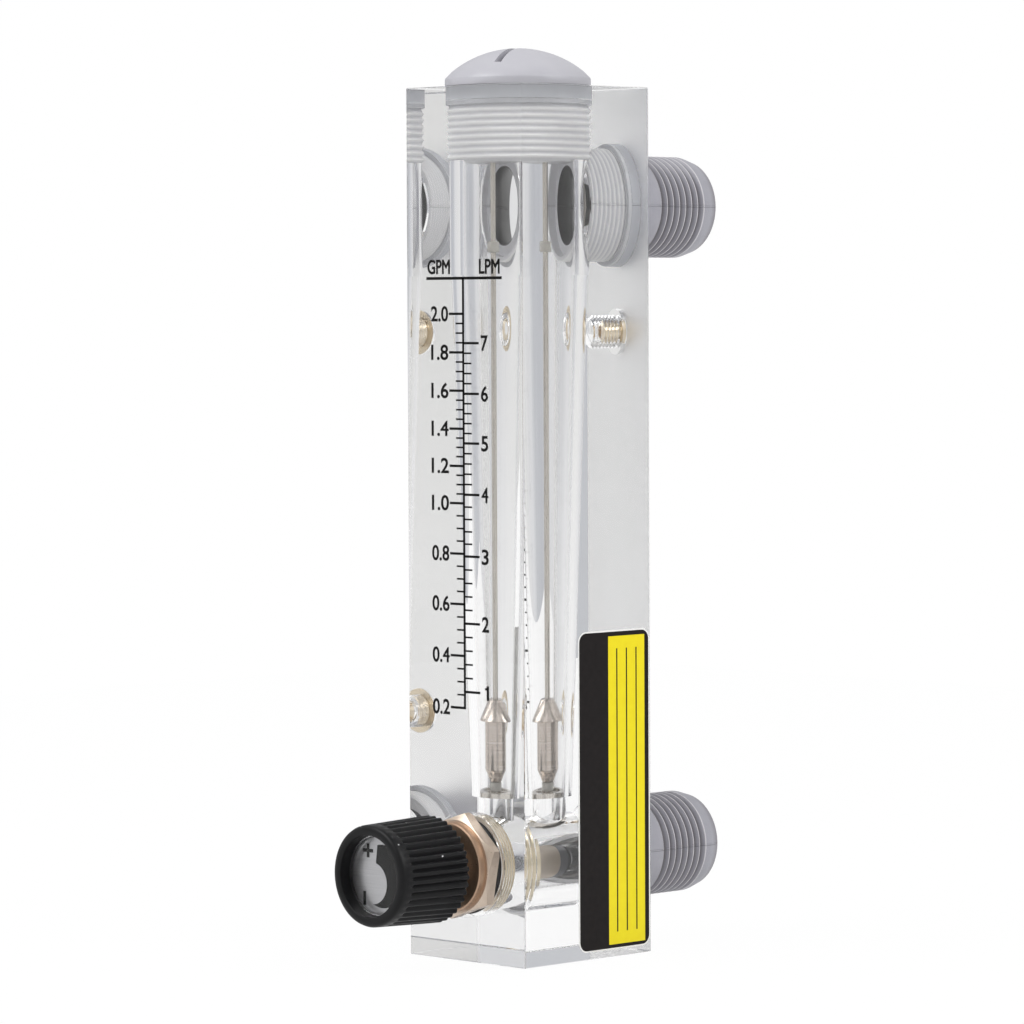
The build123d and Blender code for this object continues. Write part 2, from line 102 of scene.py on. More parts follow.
scene.view_settings.view_transform = "Standard"
world = bpy.data.worlds.new("studio")
scene.world = world
world.use_nodes = True
tree = world.node_tree
tree.nodes.clear()
by_camera, seen = showing(tree)
fold_turn = math.radians(150)
way = add(tree, "ShaderNodeTexCoord").outputs["Generated"]
nearness = add(tree, "ShaderNodeVectorMath", {0: way, 1: (math.cos(fold_turn), math.sin(fold_turn), 0)},
               operation="DOT_PRODUCT")
nearness = add(tree, "ShaderNodeMapRange", {"Value": nearness.outputs["Value"], "From Min": -1.0})
shades = add(tree, "ShaderNodeValToRGB", {0: nearness.outputs[0]})
stops = ((0.0, "dbdbda"), (0.345, "dcdcdb"), (0.67, "e8e8e7"), (0.894, "dedee0"), (0.953, "dadbde"), (0.983, "bfc1c6"),
         (1.0, "bcbec4"))
for place, code in stops[1:-1]:
    shades.color_ramp.elements.new(place)
for element, (place, code) in zip(shades.color_ramp.elements, stops):
    element.position = place
    element.color = linear(code)
pale = add(tree, "ShaderNodeMix", {0: by_camera, 6: shades.outputs[0], 7: linear("ffffff")}, data_type="RGBA")
cloth = add(tree, "ShaderNodeBackground", {"Color": pale.outputs[2], "Strength": 1.0})
fill = add(tree, "ShaderNodeBackground", {"Color": linear("f8f9fb"), "Strength": 0.65})
either = add(tree, "ShaderNodeMixShader", {0: seen.outputs[0], 1: fill.outputs[0], 2: cloth.outputs[0]})
add(tree, "ShaderNodeOutputWorld", {"Surface": either.outputs[0]})

lamp_target = Vector((0, 0, 0.09))
lamps = (("key_lamp", (-0.35, -0.9, 1.1), 0.9, 12.0), ("side_lamp", (1.0, 0.3, 0.9), 0.7, 7.0))
for name, place, size, power in lamps:
    lamp = bpy.data.objects.new(name, bpy.data.lights.new(name, "AREA"))
    scene.collection.objects.link(lamp)
    lamp.data.size = size
    lamp.data.energy = power
    lamp.location = place
    lamp.rotation_euler = (lamp_target - Vector(place)).to_track_quat("-Z", "Y").to_euler()

floor_gap, floor_half = 0.00005, 0.6
glow_share = 0.98  # the rest is lit paper, which keeps the object's shadow
bm = bmesh.new()
bmesh.ops.create_grid(bm, x_segments=1, y_segments=1, size=floor_half, matrix=Matrix.Translation((0, 0, -floor_gap)))
floor_mesh = bpy.data.meshes.new("studio_floor")
bm.to_mesh(floor_mesh)
bm.free()
studio_floor = bpy.data.objects.new("studio_floor", floor_mesh)
scene.collection.objects.link(studio_floor)
paper = bpy.data.materials.new("matt_white_paper")
paper.use_nodes = True
tree = paper.node_tree
shader = tree.nodes["Principled BSDF"]
shader.inputs["Base Color"].default_value = linear("f6f6f6")
shader.inputs["Roughness"].default_value = 0.9
_, seen = showing(tree)
whitened = add(tree, "ShaderNodeMath", {0: seen.outputs[0], 1: glow_share}, operation="MULTIPLY")
glow = add(tree, "ShaderNodeEmission", {"Color": linear("ffffff"), "Strength": 1.0})
both = add(tree, "ShaderNodeMixShader", {0: whitened.outputs[0], 1: shader.outputs[0], 2: glow.outputs[0]})
tree.links.new(both.outputs[0], tree.nodes["Material Output"].inputs["Surface"])
floor_mesh.materials.append(paper)


# Clear block: one cast acrylic bar, sawn and polished outside, bored to a taper down the
# middle, drilled through at the ports and tapped for the plug, the fittings, the valve
# and the panel inserts. It stands for the plain bored block of the CAD model.
MM = 0.001  # metres; a pattern's Scale is one over the size of its patches


def finish(name, colour, numbers):
    """A material whose plain numbers are set on the shader's own sockets."""
    made = bpy.data.materials.new(name)
    made.use_nodes = True
    shader = made.node_tree.nodes["Principled BSDF"]
    shader.inputs["Base Color"].default_value = linear(colour)
    for socket, number in numbers.items():
        shader.inputs[socket].default_value = number
    return made, made.node_tree, shader


def cloudy(tree, shader, size, detail, dark, light):
    """Tints a shader between two colours in soft patches of this size in millimetres."""
    place = add(tree, "ShaderNodeTexCoord").outputs["Object"]
    patches = add(tree, "ShaderNodeTexNoise", {"Vector": place, "Scale": 1 / (size * MM), "Detail": detail})
    tint = add(tree, "ShaderNodeMix", {0: patches.outputs["Fac"], 6: linear(dark), 7: linear(light)}, data_type="RGBA")
    tree.links.new(tint.outputs[2], shader.inputs["Base Color"])
    return place, patches, tint


def twist(bm, degrees, axis):
    """Turns a whole mesh about an axis through the origin."""
    bmesh.ops.rotate(bm, cent=(0, 0, 0), matrix=Matrix.Rotation(math.radians(degrees), 3, axis), verts=bm.verts)


def turned(outline, axis="Z", centre=(0, 0, 0), steps=128):
    """A solid or ring spun from (radius, place) points about the Z or Y axis through centre."""
    bm = bmesh.new()
    points = [bm.verts.new((radius, 0, place)) for radius, place in outline]
    edges = [bm.edges.new(pair) for pair in zip(points, points[1:])]
    if outline[0][0] > 0 and outline[-1][0] > 0:
        edges.append(bm.edges.new((points[-1], points[0])))
    bmesh.ops.spin(bm, geom=points + edges, cent=(0, 0, 0), axis=(0, 0, 1), dvec=(0, 0, 0),
                   angle=2 * math.pi, steps=steps, use_merge=True)
    bmesh.ops.remove_doubles(bm, verts=bm.verts, dist=0.0005)
    bmesh.ops.recalc_face_normals(bm, faces=bm.faces)
    if axis == "Y":
        twist(bm, -90, "X")
    bmesh.ops.translate(bm, vec=centre, verts=bm.verts)
    return bm


def smoothed(mesh, sharp):
    """Shades the mesh smooth, but for its edges over this many degrees."""
    mesh.polygons.foreach_set("use_smooth", [True] * len(mesh.polygons))
    mesh.set_sharp_from_angle(angle=math.radians(sharp))


def shown(name, bm, material, sharp=28.0):
    """The mesh drawn in millimetres, as an object in metres with its material."""
    bmesh.ops.scale(bm, vec=(MM, MM, MM), verts=bm.verts)
    mesh = bpy.data.meshes.new(name)
    bm.to_mesh(mesh)
    bm.free()
    mesh.materials.append(material)
    smoothed(mesh, sharp)
    made = bpy.data.objects.new(name, mesh)
    scene.collection.objects.link(made)
    return made


def surfaced(name, material):
    """Gives a CAD piece that keeps its own shape the look of its material."""
    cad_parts[name].data.materials.clear()
    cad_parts[name].data.materials.append(material)


def thread(low, high, ends, middle, pitch):
    """(radius, place) points of V-shaped turns from low to high: the radius at each turn's ends and middle."""
    flat = pitch / 12
    for turn in range(round((high - low) / pitch)):
        start = low + turn * pitch
        yield ends, start + flat / 2
        yield middle, start + (pitch - flat) / 2
        yield middle, start + (pitch + flat) / 2
        yield ends, start + pitch - flat / 2


def cut(target, cutters, operation="DIFFERENCE"):
    """Joins cutter meshes to the target by booleans, applies them and drops the cutters."""
    for cutter in cutters:
        modifier = target.modifiers.new("cut", "BOOLEAN")
        modifier.operation = operation
        modifier.solver = "EXACT"
        modifier.object = cutter
    bpy.context.view_layer.update()
    finished = bpy.data.meshes.new_from_object(target.evaluated_get(bpy.context.evaluated_depsgraph_get()))
    target.modifiers.clear()
    old, target.data = target.data, finished
    bpy.data.meshes.remove(old)
    finished.name = target.name
    for cutter in cutters:
        bpy.data.meshes.remove(cutter.data)


fine_steps, small_steps = 160, 64  # faces round a threaded piece and round a small one
body_width, body_depth, body_height = 33.0, 36.2, 175.2
body_chamfer = 0.15
front, rear, side = -body_depth / 2, body_depth / 2, body_width / 2
bore_y = -2.65
inlet_z, outlet_z = 19.4, 151.6
insert_heights = (47.45, 125.95)
bore_floor, bore_top, plug_foot, plug_neck = 32.5, 137.4, 160.0, 171.6
plug_pitch, plug_turns = 1.337, 8
port_pitch, port_thread_end = 1.27, 14.4
bonnet_pitch, bonnet_turns, bonnet_foot = 1.337, 5, -17.6
insert_thread, insert_pitch = (9.9, 16.9), 1.0
way_r, bore_low_r, bore_high_r, plug_core_r = 4.5, 6.05, 10.55, 11.0

# Polished by buffing: clear, with sharp reflections and a hardly seen haze in 11 mm clouds.
acrylic, tree, shader = finish("polished_cast_acrylic", "fafafa",
                               {"Transmission Weight": 1.0, "IOR": 1.49, "Roughness": 0.0})
cloudy(tree, shader, 11, 2.0, "f9f9f9", "fefefe")
# Sanded flat and not polished: the back lets light through but shows no mirror
# image. The scratches are about 0.05 mm apart and are drawn at 0.67 mm, so that they show.
sanded, tree, shader = finish("sanded_cast_acrylic", "fafafa",
                              {"Transmission Weight": 1.0, "IOR": 1.49, "Roughness": 0.5})
place = add(tree, "ShaderNodeTexCoord").outputs["Object"]
grit = add(tree, "ShaderNodeTexNoise", {"Vector": place, "Scale": 1 / (0.67 * MM), "Detail": 3.0})
gloss = add(tree, "ShaderNodeMapRange", {"Value": grit.outputs["Fac"], "To Min": 0.42, "To Max": 0.6})
tree.links.new(gloss.outputs[0], shader.inputs["Roughness"])

bm = bmesh.new()
bmesh.ops.create_cube(bm, size=1.0)
bmesh.ops.scale(bm, vec=(body_width, body_depth, body_height), verts=bm.verts)
bmesh.ops.translate(bm, vec=(0, 0, body_height / 2), verts=bm.verts)
bmesh.ops.bevel(bm, geom=bm.edges[:], offset=body_chamfer, offset_type="OFFSET", affect="EDGES", segments=1,
                profile=0.5, material=-1)
clear_block = shown("clear_block", bm, acrylic)

plug_thread = (plug_foot + 0.45, plug_foot + 0.45 + plug_turns * plug_pitch)
bonnet_thread = (bonnet_foot, bonnet_foot + bonnet_turns * bonnet_pitch)
# Up the bore: the way in, the taper, a plain length, the plug's thread and the recess for its neck.
bore_outline = [(0, inlet_z), (way_r, inlet_z), (way_r, bore_floor), (bore_low_r, bore_floor), (bore_high_r, bore_top),
                (plug_core_r, bore_top), (plug_core_r, plug_foot),
                *thread(*plug_thread, plug_core_r, 11.54, plug_pitch), (10.85, plug_neck), (11.78, plug_neck),
                (11.78, body_height + 2), (0, body_height + 2)]
# In from the front: the black seal's recess, the bonnet's thread and bore, and the way through the seat.
valve_outline = [(0, -19.5), (10.75, -19.5), (10.75, -17.75), (9.65, -17.75),
                 *thread(*bonnet_thread, 9.65, 10.3, bonnet_pitch),
                 (9.6, -9.8), (9.6, 3.5), (5.0, 3.5), (5.0, 12.0), (0, 12.0)]
cutters = [shown("bore_cutter", turned(bore_outline, "Z", (0, bore_y, 0), fine_steps), acrylic),
           shown("valve_cutter", turned(valve_outline, "Y", (0, 0, inlet_z), fine_steps), acrylic)]
port_threads = {}
for name, port_z, foot, turns in (("inlet", inlet_z, 7.9, 5), ("outlet", outlet_z, 3.1, 8)):
    port_threads[name] = (port_thread_end - turns * port_pitch, port_thread_end)
    outline = [(0, foot), (10.7, foot), *thread(*port_threads[name], 10.7, 11.45, port_pitch),
               (10.7, 14.5), (12.43, 14.5), (12.43, 19.5), (0, 19.5)]
    cutters.append(shown(name + "_cutter", turned(outline, "Y", (0, 0, port_z), fine_steps), acrylic))
for insert_z in insert_heights:
    outline = [(0, 8.3), (2.8, 9.5), *thread(*insert_thread, 2.8, 3.35, insert_pitch), (2.8, 17.1), (4.65, 17.1),
               (4.65, 19.0), (0, 19.0)]
    cutters.append(shown("insert_cutter", turned(outline, "Y", (0, 0, insert_z), small_steps), acrylic))
cut(clear_block, cutters)
smoothed(clear_block.data, 28)
clear_block.data.materials.append(sanded)
for face in clear_block.data.polygons:  # only the flat back is left sanded
    if face.normal.y > 0.99 and face.center.y > (rear - 0.01) * MM:
        face.material_index = 1
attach(clear_block, "meter_body")
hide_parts("flow_body")


# Top plug: a moulded grey PVC plug with a slotted domed head, screwed into the top of the
# bore by a fine thread. A faint mould line runs down its side.
head_r, head_rim, dome_rise = 14.7, 1.88, 5.955
head_foot = body_height + 0.02
dome_foot = head_foot + head_rim
dome_ball = (head_r ** 2 + dome_rise ** 2) / (2 * dome_rise)
slot_width, slot_depth, slot_half, slot_turn = 1.45, 3.2, 11.5, -66.0

# Injection moulded: satin grey with a slight cloudiness. What sits behind the clear block is
# painted paler, a painted light, since light reaches it from all sides there, and the thread is
# wound in white tape, with painted shade grey in its roots and a painted highlight white on its
# crests. The mould's grain is about 0.05 mm and is drawn at 0.4 mm, so that it shows.
grey_pvc, tree, shader = finish("moulded_grey_pvc", "b0afb5", {"Roughness": 0.36, "Specular IOR Level": 0.5})
place, mottle, tint = cloudy(tree, shader, 3.8, 4.0, "aaa9b0", "b6b5ba")
height = add(tree, "ShaderNodeSeparateXYZ", {0: place}).outputs["Z"]
# painted light: below the block's top the plug is painted paler, as light reaches it from all sides there
painted_light_inside = add(tree, "ShaderNodeMath", {0: height, 1: (body_height - 0.05) * MM}, operation="LESS_THAN")
tint = add(tree, "ShaderNodeMix", {0: painted_light_inside.outputs[0], 6: tint.outputs[2], 7: linear("dfe1e7")}, data_type="RGBA")
taped = add(tree, "ShaderNodeMath", {0: height, 1: plug_neck * MM}, operation="LESS_THAN")
from_axis = add(tree, "ShaderNodeVectorMath", {0: place, 1: (0, -bore_y * MM, 0)}, operation="ADD")
from_axis = add(tree, "ShaderNodeVectorMath", {0: from_axis.outputs[0], 1: (1, 1, 0)}, operation="MULTIPLY")
from_axis = add(tree, "ShaderNodeVectorMath", {0: from_axis.outputs[0]}, operation="LENGTH").outputs["Value"]
# painted shade and highlight on the white tape: grey towards the thread's roots, white on its crests
turns = add(tree, "ShaderNodeMapRange", {"Value": from_axis, "From Min": 11.1 * MM, "From Max": 11.45 * MM})
tape_and_painted_shading = add(tree, "ShaderNodeMix", {0: turns.outputs[0], 6: linear("e0e0e3"), 7: linear("ffffff")}, data_type="RGBA")
tint = add(tree, "ShaderNodeMix", {0: taped.outputs[0], 6: tint.outputs[2], 7: tape_and_painted_shading.outputs[2]}, data_type="RGBA")
tree.links.new(tint.outputs[2], shader.inputs["Base Color"])
grain = add(tree, "ShaderNodeTexNoise", {"Vector": place, "Scale": 1 / (0.4 * MM), "Detail": 3.0})
gloss = add(tree, "ShaderNodeMapRange", {"Value": mottle.outputs["Fac"], "To Min": 0.30, "To Max": 0.44})
tree.links.new(gloss.outputs[0], shader.inputs["Roughness"])
bump = add(tree, "ShaderNodeBump", {"Height": grain.outputs["Fac"], "Strength": 0.12, "Distance": 0.04 * MM})
tree.links.new(bump.outputs[0], shader.inputs["Normal"])

dome, dome_steps = [], 14
for step in range(1, dome_steps + 1):
    radius = (head_r - 0.5) * (1 - step / dome_steps)
    dome.append((radius, dome_foot + math.sqrt(dome_ball ** 2 - radius ** 2) - (dome_ball - dome_rise)))
# From the rod's socket outwards: the foot, the thread, the neck, the head's underside and rim, and the dome.
outline = [(0, plug_foot + 6.0), (1.03, plug_foot + 6.0), (1.03, plug_foot + 0.05), (10.4, plug_foot + 0.05),
           *thread(*plug_thread, 11.02, 11.56, plug_pitch), (10.87, plug_neck - 0.02), (10.87, plug_neck + 1.02),
           (11.8, plug_neck + 1.02), (11.8, head_foot), (head_r - 0.25, head_foot), (head_r, head_foot + 0.25),
           (head_r, dome_foot - 0.35), (head_r - 0.12, dome_foot - 0.05), *dome]
top_plug = shown("top_plug_moulding", turned(outline, "Z", (0, bore_y, 0), fine_steps), grey_pvc, sharp=30)
bm = bmesh.new()
bmesh.ops.create_cube(bm, size=1.0)
bmesh.ops.scale(bm, vec=(2 * slot_half, slot_width, 2 * slot_depth), verts=bm.verts)
bmesh.ops.bevel(bm, geom=[e for e in bm.edges if abs(e.verts[0].co.z - e.verts[1].co.z) > slot_depth], offset=0.3,
                offset_type="OFFSET", affect="EDGES", segments=4, profile=0.5, material=-1)
twist(bm, slot_turn, "Z")
bmesh.ops.translate(bm, vec=(0, bore_y, dome_foot + dome_rise), verts=bm.verts)
cut(top_plug, [shown("slot_cutter", bm, grey_pvc)])
smoothed(top_plug.data, 30)
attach(top_plug, "meter_body")
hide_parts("top_plug")


# Plug seal: a soft grey ring in the groove under the plug's neck.
# Moulded rubber: dull, with a faint bloom in 1 mm patches.
grey_rubber, tree, shader = finish("soft_grey_rubber", "d4d5d9", {"Roughness": 0.6})
cloudy(tree, shader, 1.1, 3.0, "cdced3", "dadbdf")


def squashed(name, inner_r, outer_r, low, high, axis, centre):
    """A soft sealing ring that is squashed to fill its groove, with slightly rounded edges."""
    edge = 0.08
    outline = [(inner_r, low + edge), (inner_r + edge, low), (outer_r - edge, low), (outer_r, low + edge),
               (outer_r, high - edge), (outer_r - edge, high), (inner_r + edge, high), (inner_r, high - edge)]
    return shown(name, turned(outline, axis, centre, 96), grey_rubber, sharp=40)


plug_seal = squashed("plug_seal_ring", 10.89, 11.8, plug_neck - 0.02, plug_neck + 1.0, "Z", (0, bore_y, 0))
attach(plug_seal, "meter_body")
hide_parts("top_plug_seal")


# Guide rod and its holder: a drawn stainless rod down the middle of the bore, held at the
# foot by a stainless spider pressed on the bore's floor.
# Drawn through a die: bright, with lines along its length. They are 0.05 mm wide and are
# drawn at 0.25 mm, so that they show.
stainless, tree, shader = finish("drawn_stainless_steel", "cbc6bf", {"Metallic": 1.0, "Roughness": 0.24})
place = add(tree, "ShaderNodeTexCoord").outputs["Object"]
drawn = add(tree, "ShaderNodeMapping", {"Vector": place, "Scale": (1.0, 1.0, 0.02)})
lines = add(tree, "ShaderNodeTexNoise", {"Vector": drawn.outputs[0], "Scale": 1 / (0.25 * MM), "Detail": 2.0})
gloss = add(tree, "ShaderNodeMapRange", {"Value": lines.outputs["Fac"], "To Min": 0.18, "To Max": 0.34})
tree.links.new(gloss.outputs[0], shader.inputs["Roughness"])
tint = add(tree, "ShaderNodeMix", {0: lines.outputs["Fac"], 6: linear("bdb7af"), 7: linear("d6d1ca")}, data_type="RGBA")
tree.links.new(tint.outputs[2], shader.inputs["Base Color"])
surfaced("guide_rod", stainless)
surfaced("rod_holder", stainless)


# Float stops: two soft beads of clear silicone pushed on the rod, one under the float and
# one near the top.
# Moulded silicone: milky and soft looking, cloudy in 0.7 mm patches.
silicone, tree, shader = finish("clear_silicone_rubber", "ece9e2",
                                {"Transmission Weight": 0.55, "IOR": 1.41, "Roughness": 0.3})
place = add(tree, "ShaderNodeTexCoord").outputs["Object"]
cloud = add(tree, "ShaderNodeTexNoise", {"Vector": place, "Scale": 1 / (0.7 * MM), "Detail": 2.0})
gloss = add(tree, "ShaderNodeMapRange", {"Value": cloud.outputs["Fac"], "To Min": 0.22, "To Max": 0.45})
tree.links.new(gloss.outputs[0], shader.inputs["Roughness"])
for name, low, high in (("lower_float_stop", 33.5, 35.25), ("upper_float_stop", 142.05, 144.25)):
    outline = [(1.02, low), (1.9, low), (2.12, low + 0.12), (2.2, low + 0.35), (2.2, high - 0.35), (2.12, high - 0.12),
               (1.9, high), (1.02, high)]
    bead = shown(name + "_bead", turned(outline, "Z", (0, bore_y, 0), 48), silicone, sharp=40)
    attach(bead, "meter_body")
    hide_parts(name)


# Float: turned from stainless bar, a cone over a straight body and a short tapered tail,
# drilled to slide on the rod. The turning marks run round it.
float_foot = 35.27
tail, body, cone = float_foot + 2.55, float_foot + 12.5, float_foot + 16.7
# Turned on a lathe: bright, with fine rings. They are 0.08 mm apart and are drawn at 0.25 mm,
# so that they show.
turned_steel, tree, shader = finish("turned_stainless_steel", "cdc6bf", {"Metallic": 1.0, "Roughness": 0.22})
place = add(tree, "ShaderNodeTexCoord").outputs["Object"]
rings = add(tree, "ShaderNodeMapping", {"Vector": place, "Scale": (0.02, 0.02, 1.0)})
marks = add(tree, "ShaderNodeTexNoise", {"Vector": rings.outputs[0], "Scale": 1 / (0.25 * MM), "Detail": 3.0})
tint = add(tree, "ShaderNodeMix", {0: marks.outputs["Fac"], 6: linear("a89d94"), 7: linear("d6cdc5")}, data_type="RGBA")
tree.links.new(tint.outputs[2], shader.inputs["Base Color"])
gloss = add(tree, "ShaderNodeMapRange", {"Value": marks.outputs["Fac"], "To Min": 0.16, "To Max": 0.32})
tree.links.new(gloss.outputs[0], shader.inputs["Roughness"])
bump = add(tree, "ShaderNodeBump", {"Height": marks.outputs["Fac"], "Strength": 0.3, "Distance": 0.02 * MM})
tree.links.new(bump.outputs[0], shader.inputs["Normal"])
# Up the outside from the bore's edge: the tail, the body, the rim, the cone and the top.
outline = [(1.1, float_foot + 0.1), (1.2, float_foot), (2.0, float_foot), (2.1, float_foot + 0.1), (3.82, tail - 0.1),
           (3.9, tail + 0.1), (3.9, body - 0.1), (4.0, body), (5.65, body), (5.75, body + 0.1), (5.68, body + 0.22),
           (2.52, cone - 0.08), (2.4, cone), (1.2, cone), (1.1, cone - 0.1)]
metering_float = shown("turned_float", turned(outline, "Z", (0, bore_y, 0)), turned_steel, sharp=24)
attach(metering_float, "float_body")
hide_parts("metering_float")


# Pipe fittings: moulded grey PVC nipples screwed into the back of the block, with a collar
# let into the block, a coarse pipe thread outside and a mould line at half height. They are
# sealed in: their buried parts reach 0.02 mm into the block, so that no air shows between.
pipe_pitch, pipe_turns, pipe_start = 1.814, 7, 28.3
pipe_end = pipe_start + pipe_turns * pipe_pitch
nipple_r, nipple_end, nipple_lead = 10.45, rear + 27.4, 2.9
nipple_bore_r, shank_foot, shank_deepest = 8.0, 8.9, 4.6
# Injection moulded like the plug, with a raised mould line. Painted shade darkens the roots of the
# thread and the bore, a painted highlight makes the crests pale, painted light makes the stretches
# inside the clear block paler, and the buried thread's white tape has painted shade and highlight too.
pipe_pvc, tree, shader = finish("moulded_grey_pvc_fitting", "9a99a1", {"Roughness": 0.42, "Specular IOR Level": 0.5})
place, _, tint = cloudy(tree, shader, 3.3, 4.0, "93929a", "a2a1a8")
parts = add(tree, "ShaderNodeSeparateXYZ", {0: place})
nearest = add(tree, "ShaderNodeMath", {0: parts.outputs["Z"], 1: (inlet_z + outlet_z) / 2 * MM}, operation="SUBTRACT")
nearest = add(tree, "ShaderNodeMath", {0: nearest.outputs[0]}, operation="ABSOLUTE")
nearest = add(tree, "ShaderNodeMath", {0: nearest.outputs[0], 1: (outlet_z - inlet_z) / 2 * MM}, operation="SUBTRACT")
nearest = add(tree, "ShaderNodeMath", {0: nearest.outputs[0]}, operation="ABSOLUTE")
from_axis = add(tree, "ShaderNodeCombineXYZ", {0: parts.outputs["X"], 1: nearest.outputs[0]})
from_axis = add(tree, "ShaderNodeVectorMath", {0: from_axis.outputs[0]}, operation="LENGTH").outputs["Value"]
# painted shade: the roots of the pipe thread are painted dark
shade = add(tree, "ShaderNodeMapRange", {"Value": from_axis, "From Min": 9.4 * MM, "From Max": 10.2 * MM})
painted_root_shade = add(tree, "ShaderNodeMix", {0: shade.outputs[0], 6: linear("696569"), 7: tint.outputs[2]}, data_type="RGBA")
# painted highlight: the crests of the pipe thread are painted pale
painted_crest_highlight = add(tree, "ShaderNodeMapRange", {"Value": from_axis, "From Min": 10.34 * MM, "From Max": 10.43 * MM})
threaded = add(tree, "ShaderNodeMath", {0: parts.outputs["Y"], 1: (pipe_start + pipe_end) / 2 * MM,
                                        2: ((pipe_end - pipe_start) / 2 + 0.2) * MM}, operation="COMPARE")
crest = add(tree, "ShaderNodeMath", {0: painted_crest_highlight.outputs[0], 1: threaded.outputs[0]}, operation="MULTIPLY")
tint = add(tree, "ShaderNodeMix", {0: crest.outputs[0], 6: painted_root_shade.outputs[2], 7: linear("c3c0c4")}, data_type="RGBA")
# painted light: the stretch inside the clear block is painted paler, as light reaches it from all sides there
painted_light_inside = add(tree, "ShaderNodeMath", {0: parts.outputs["Y"], 1: (rear - 0.05) * MM}, operation="LESS_THAN")
tint = add(tree, "ShaderNodeMix", {0: painted_light_inside.outputs[0], 6: tint.outputs[2], 7: linear("c4c6cd")}, data_type="RGBA")
taped = add(tree, "ShaderNodeMath", {0: parts.outputs["Y"], 1: (port_thread_end + 0.1) * MM}, operation="LESS_THAN")
# painted shade and highlight on the white tape: grey towards the thread's roots, white on its crests
turns = add(tree, "ShaderNodeMapRange", {"Value": from_axis, "From Min": 11.0 * MM, "From Max": 11.4 * MM})
tape_and_painted_shading = add(tree, "ShaderNodeMix", {0: turns.outputs[0], 6: linear("e4e4e8"), 7: linear("ffffff")}, data_type="RGBA")
tint = add(tree, "ShaderNodeMix", {0: taped.outputs[0], 6: tint.outputs[2], 7: tape_and_painted_shading.outputs[2]}, data_type="RGBA")
# painted shade: the bore is painted dark
painted_bore_shade = add(tree, "ShaderNodeMath", {0: from_axis, 1: (nipple_bore_r + 0.1) * MM}, operation="LESS_THAN")
tint = add(tree, "ShaderNodeMix", {0: painted_bore_shade.outputs[0], 6: tint.outputs[2], 7: linear("404044")}, data_type="RGBA")
tree.links.new(tint.outputs[2], shader.inputs["Base Color"])
seam = add(tree, "ShaderNodeMapRange", {"Value": nearest.outputs[0], "From Min": 0.10 * MM, "From Max": 0.22 * MM,
                                       "To Min": 1.0, "To Max": 0.0})
grain = add(tree, "ShaderNodeTexNoise", {"Vector": place, "Scale": 1 / (0.4 * MM), "Detail": 3.0})
relief = add(tree, "ShaderNodeMath", {0: grain.outputs["Fac"], 1: 0.25, 2: seam.outputs[0]}, operation="MULTIPLY_ADD")
bump = add(tree, "ShaderNodeBump", {"Height": relief.outputs[0], "Strength": 0.8, "Distance": 0.25 * MM})
tree.links.new(bump.outputs[0], shader.inputs["Normal"])
for name, seal_name, port, port_z in (("inlet_fitting", "inlet_seal", "inlet", inlet_z),
                                      ("outlet_fitting", "outlet_seal", "outlet", outlet_z)):
    foot = max(port_threads[port][0], shank_deepest)
    shank = [point for point in thread(*port_threads[port], 10.72, 11.47, port_pitch) if point[1] > foot]
    # Outwards: the thread's lining in the block, the seal's groove, the collar, the pipe thread and the mouth.
    outline = [(nipple_bore_r, shank_foot), (10.2, shank_foot), (10.45, foot), (10.65, foot), *shank, (10.72, 14.48),
               (11.4, 14.48), (11.4, 15.52), (12.45, 15.52), (12.45, rear - 0.02), (10.35, rear - 0.02),
               (10.35, pipe_start), *thread(pipe_start, pipe_end, nipple_r, 9.32, pipe_pitch),
               (nipple_r, nipple_end - nipple_lead), (9.7, nipple_end - 0.15), (9.5, nipple_end), (8.15, nipple_end),
               (nipple_bore_r, nipple_end - 0.2)]
    nipple = shown(name + "_moulding", turned(outline, "Y", (0, 0, port_z), fine_steps), pipe_pvc, sharp=24)
    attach(nipple, "meter_body")
    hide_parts(name)
    seal = squashed(seal_name + "_ring", 11.42, 12.45, 14.48, 15.5, "Y", (0, 0, port_z))
    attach(seal, "meter_body")
    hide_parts(seal_name)


# Panel inserts: turned brass bushes with a thin flange, screwed into the back of the
# block, which take the screws of the panel.
# Turned on a lathe: pale brass with light stains in 1.4 mm patches.
brass, tree, shader = finish("turned_brass", "e6d5b8", {"Metallic": 1.0, "Roughness": 0.28})
_, stain, _ = cloudy(tree, shader, 1.4, 4.0, "dfcdae", "f1e5d0")
gloss = add(tree, "ShaderNodeMapRange", {"Value": stain.outputs["Fac"], "To Min": 0.2, "To Max": 0.4})
tree.links.new(gloss.outputs[0], shader.inputs["Roughness"])
for name, insert_z in zip(("lower_panel_insert", "upper_panel_insert"), insert_heights):
    bush = [point for point in thread(*insert_thread, 2.75, 3.28, insert_pitch) if point[1] > 12.3]
    outline = [(2.1, 12.2), (2.7, 12.2), *bush, (2.7, 17.12), (4.6, 17.12), (4.6, rear - 0.1), (4.5, rear), (2.3, rear),
               (2.1, rear - 0.2)]
    insert = shown(name + "_bush", turned(outline, "Y", (0, 0, insert_z), small_steps), brass, sharp=24)
    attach(insert, "meter_body")
    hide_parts(name)


# Valve bonnet: a nickel-plated brass screw-in housing with a thin hexagon and a round
# collar, turned and plated, worn yellow on its thread. A black ring seals it on the block.
collar_face, collar_end, hex_end = -23.3, -21.5, -18.9
hex_flats, hex_corner_turn = 19.0, 19.0
